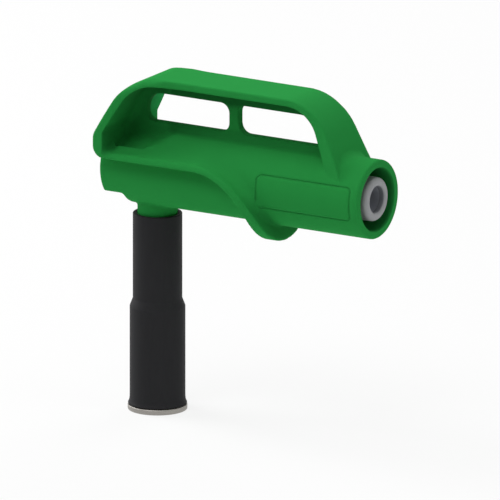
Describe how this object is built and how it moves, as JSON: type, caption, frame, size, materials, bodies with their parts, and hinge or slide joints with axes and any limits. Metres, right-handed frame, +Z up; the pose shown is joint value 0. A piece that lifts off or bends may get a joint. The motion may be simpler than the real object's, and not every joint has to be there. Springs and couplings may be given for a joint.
{
  "type": "magnetic test probe adapter",
  "caption": "Right-angle adapter with a shrouded 4 mm socket, a looped finger handle with a windowed web, an S-swept guard and a sleeved magnetic contact tip.",
  "frame": {"origin": "centre of the contact disc's lower face, on the tip's axis", "axes": "+Z up the tip towards the handle, +X along the barrel towards the mouth of the socket"},
  "size_m": [0.045, 0.0164, 0.0518],
  "materials": {
    "green_plastic": "satin",
    "black_plastic": "satin",
    "grey_plastic": "satin",
    "nickel_plate": "satin",
    "brass": "turned",
    "magnet_plate": "plated"
  },
  "bodies": {
    "root": {"grip_body": "green_plastic", "socket_insulator": "grey_plastic", "socket_contact": "nickel_plate", "contact_stud": "brass", "lock_washer": "nickel_plate", "lock_nut": "nickel_plate", "magnet_holder": "brass", "magnet": "magnet_plate", "contact_disc": "nickel_plate", "insulating_sleeve": "black_plastic"}
  },
  "joints": []
}
